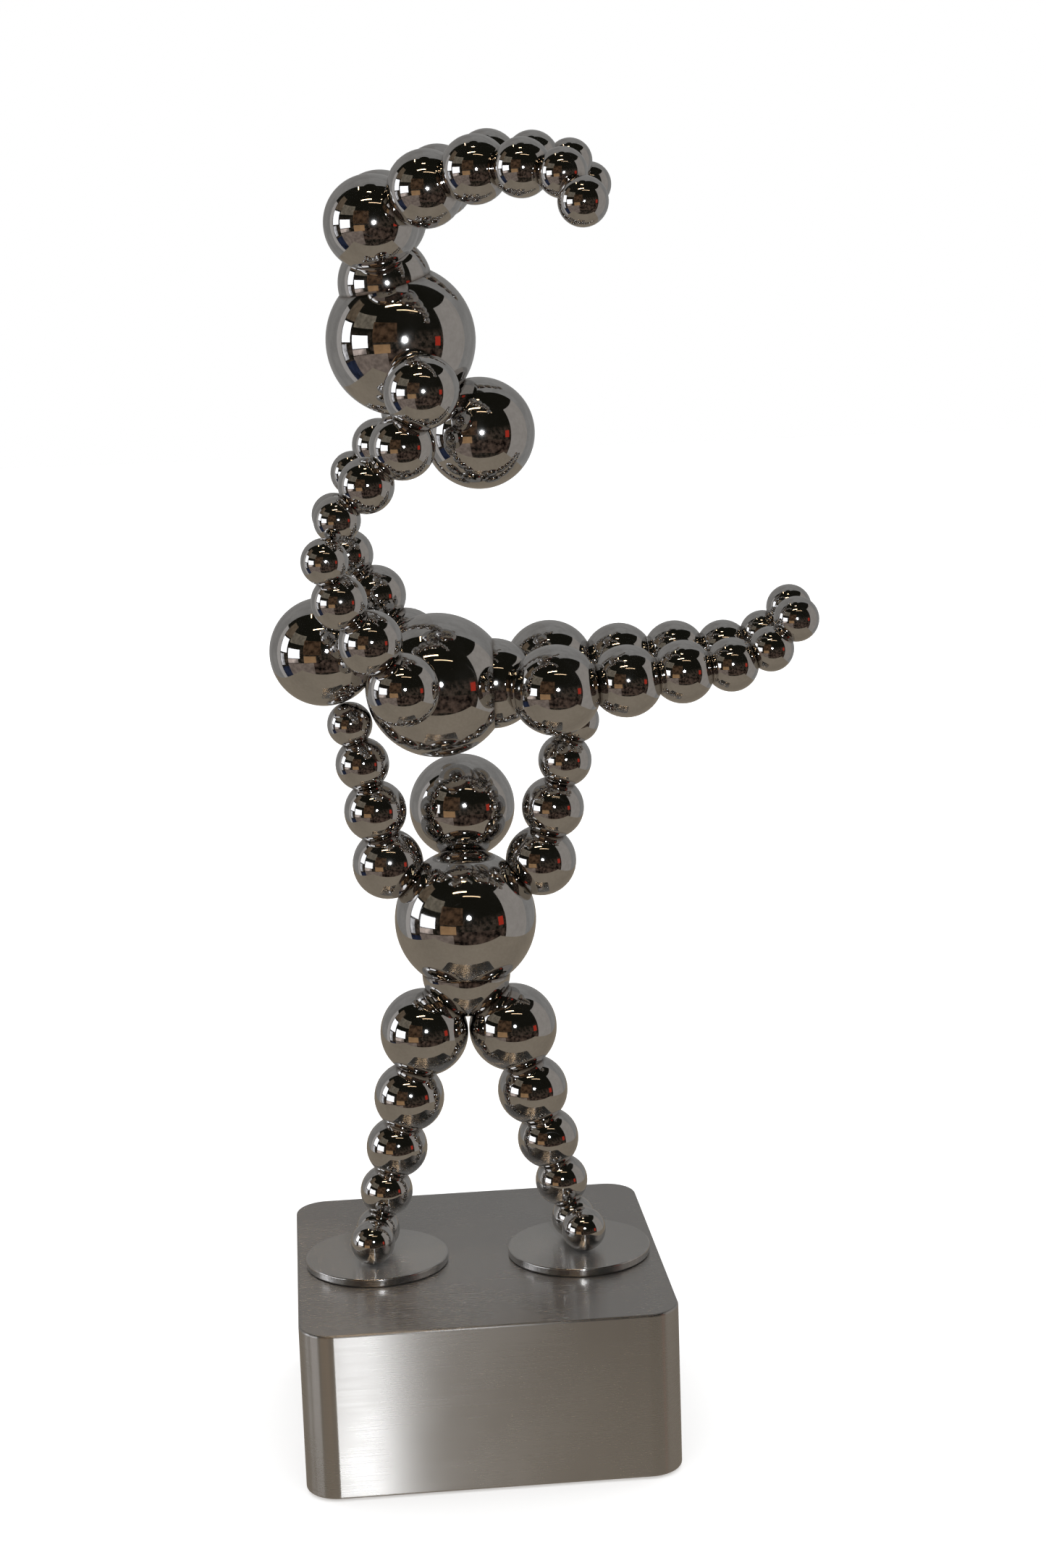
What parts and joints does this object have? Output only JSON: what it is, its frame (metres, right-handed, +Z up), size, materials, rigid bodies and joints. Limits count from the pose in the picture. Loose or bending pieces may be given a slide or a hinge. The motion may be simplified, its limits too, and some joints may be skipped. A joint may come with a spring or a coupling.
{
  "type": "magnetic desk sculpture",
  "caption": "Acrobats made of welded polished steel balls, balanced on one another on a brushed steel pedestal and held by magnets at their hands and feet.",
  "frame": {"origin": "centre of the underside of the pad under the pedestal", "axes": "+Z up, -Y towards the viewer, +X to the viewer's right, which is where the middle acrobat's legs point"},
  "size_m": [0.1932, 0.1641, 0.4634],
  "materials": {
    "polished_steel": "mirror polished bearing steel with fine handling marks",
    "brushed_steel": "brushed stainless steel, the grain level on the sides",
    "disc_steel": "satin ground top with a polished rim",
    "magnet_nickel": "nickel plated magnet",
    "cast_iron": "as cast",
    "zinc_plate": "zinc plated sheet steel",
    "pad_rubber": "matt foamed rubber"
  },
  "bodies": {
    "pedestal": {"pedestal_casing": "brushed_steel", "ballast_block": "cast_iron", "bottom_plate": "zinc_plate", "bottom_plate_screw": "zinc_plate", "pedestal_pad": "pad_rubber", "foot_disc_right": "disc_steel", "foot_disc_left": "disc_steel", "disc_magnet_right": "magnet_nickel", "disc_magnet_left": "magnet_nickel"},
    "base_acrobat": {"base_torso": "polished_steel", "base_head": "polished_steel", "base_pelvis": "polished_steel", "base_shoulder_left": "polished_steel", "base_shoulder_right": "polished_steel", "base_arm_left": "polished_steel", "base_arm_right": "polished_steel", "base_hand_left": "polished_steel", "base_hand_right": "polished_steel", "base_hand_magnet_left": "magnet_nickel", "base_hand_magnet_right": "magnet_nickel", "base_thigh_left": "polished_steel", "base_thigh_right": "polished_steel", "base_shin_left": "polished_steel", "base_shin_right": "polished_steel", "base_foot_left": "polished_steel", "base_foot_right": "polished_steel"},
    "middle_acrobat": {"middle_torso": "polished_steel", "middle_head": "polished_steel", "middle_pelvis": "polished_steel", "middle_shoulder_left": "polished_steel", "middle_shoulder_right": "polished_steel", "middle_arm_left": "polished_steel", "middle_arm_right": "polished_steel", "middle_hand_left": "polished_steel", "middle_hand_right": "polished_steel", "middle_hand_magnet_left": "magnet_nickel", "middle_hand_magnet_right": "magnet_nickel", "middle_thigh_left": "polished_steel", "middle_thigh_right": "polished_steel", "middle_shin_left": "polished_steel", "middle_shin_right": "polished_steel", "middle_foot_left": "polished_steel", "middle_foot_right": "polished_steel"},
    "top_acrobat": {"top_torso": "polished_steel", "top_head": "polished_steel", "top_pelvis": "polished_steel", "top_shoulder_left": "polished_steel", "top_shoulder_right": "polished_steel", "top_arm_left": "polished_steel", "top_arm_right": "polished_steel", "top_hand_left": "polished_steel", "top_hand_right": "polished_steel", "top_hand_magnet_left": "magnet_nickel", "top_hand_magnet_right": "magnet_nickel", "top_thigh_left": "polished_steel", "top_thigh_right": "polished_steel", "top_shin_left": "polished_steel", "top_shin_right": "polished_steel", "top_foot_left": "polished_steel", "top_foot_right": "polished_steel"}
  },
  "joints": [
    {"name": "base_acrobat_lift", "type": "slide", "parent": "pedestal", "child": "base_acrobat", "axis": [0, 0, 1], "range_m": [0, 0.04]},
    {"name": "middle_acrobat_lift", "type": "slide", "parent": "base_acrobat", "child": "middle_acrobat", "axis": [0, 0, 1], "range_m": [0, 0.04]},
    {"name": "top_acrobat_rock", "type": "hinge", "parent": "middle_acrobat", "child": "top_acrobat", "pos_m": [-0.03865, -0.00469, 0.33345], "axis": [0.0881, 0.9855, 0.1448], "range_deg": [-15, 15]}
  ]
}
